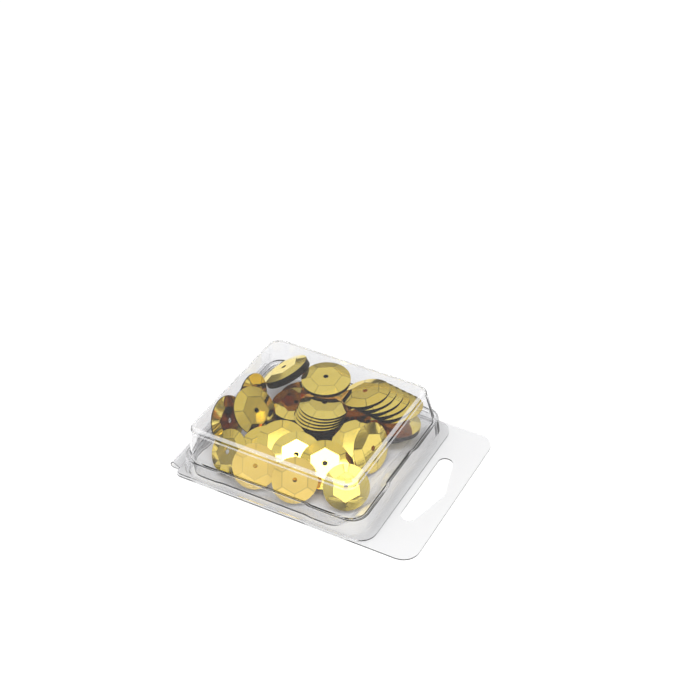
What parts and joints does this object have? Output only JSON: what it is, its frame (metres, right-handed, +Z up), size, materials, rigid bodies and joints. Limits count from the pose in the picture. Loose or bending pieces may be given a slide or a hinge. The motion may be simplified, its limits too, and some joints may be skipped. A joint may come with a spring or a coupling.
{
  "type": "hinged clamshell blister pack",
  "caption": "Clear thermoformed clamshell pack with a living hinge, a snap-fit domed lid and a hang tab with a delta slot, filled with loose gold cup sequins.",
  "frame": {"origin": "centre of the pack's box, on the surface that it lies on", "axes": "+Z up through the dome, +Y towards the hang tab, hinge along X at the -Y end"},
  "size_m": [0.058, 0.0798, 0.016],
  "materials": {
    "clear_sheet": "clear gloss",
    "gold_film": "metallised gloss"
  },
  "bodies": {
    "tray": {"tray": "clear_sheet", "floor_sequins": "gold_film", "front_sequins": "gold_film", "hinge_side_sequins": "gold_film", "middle_sequins": "gold_film", "tab_side_sequins": "gold_film", "top_sequins": "gold_film"},
    "lid": {"lid": "clear_sheet"}
  },
  "joints": [
    {"name": "lid_hinge", "type": "hinge", "parent": "tray", "child": "lid", "pos_m": [0, -0.03991, 0.00108], "axis": [1, 0, 0], "range_deg": [0, 110]}
  ]
}
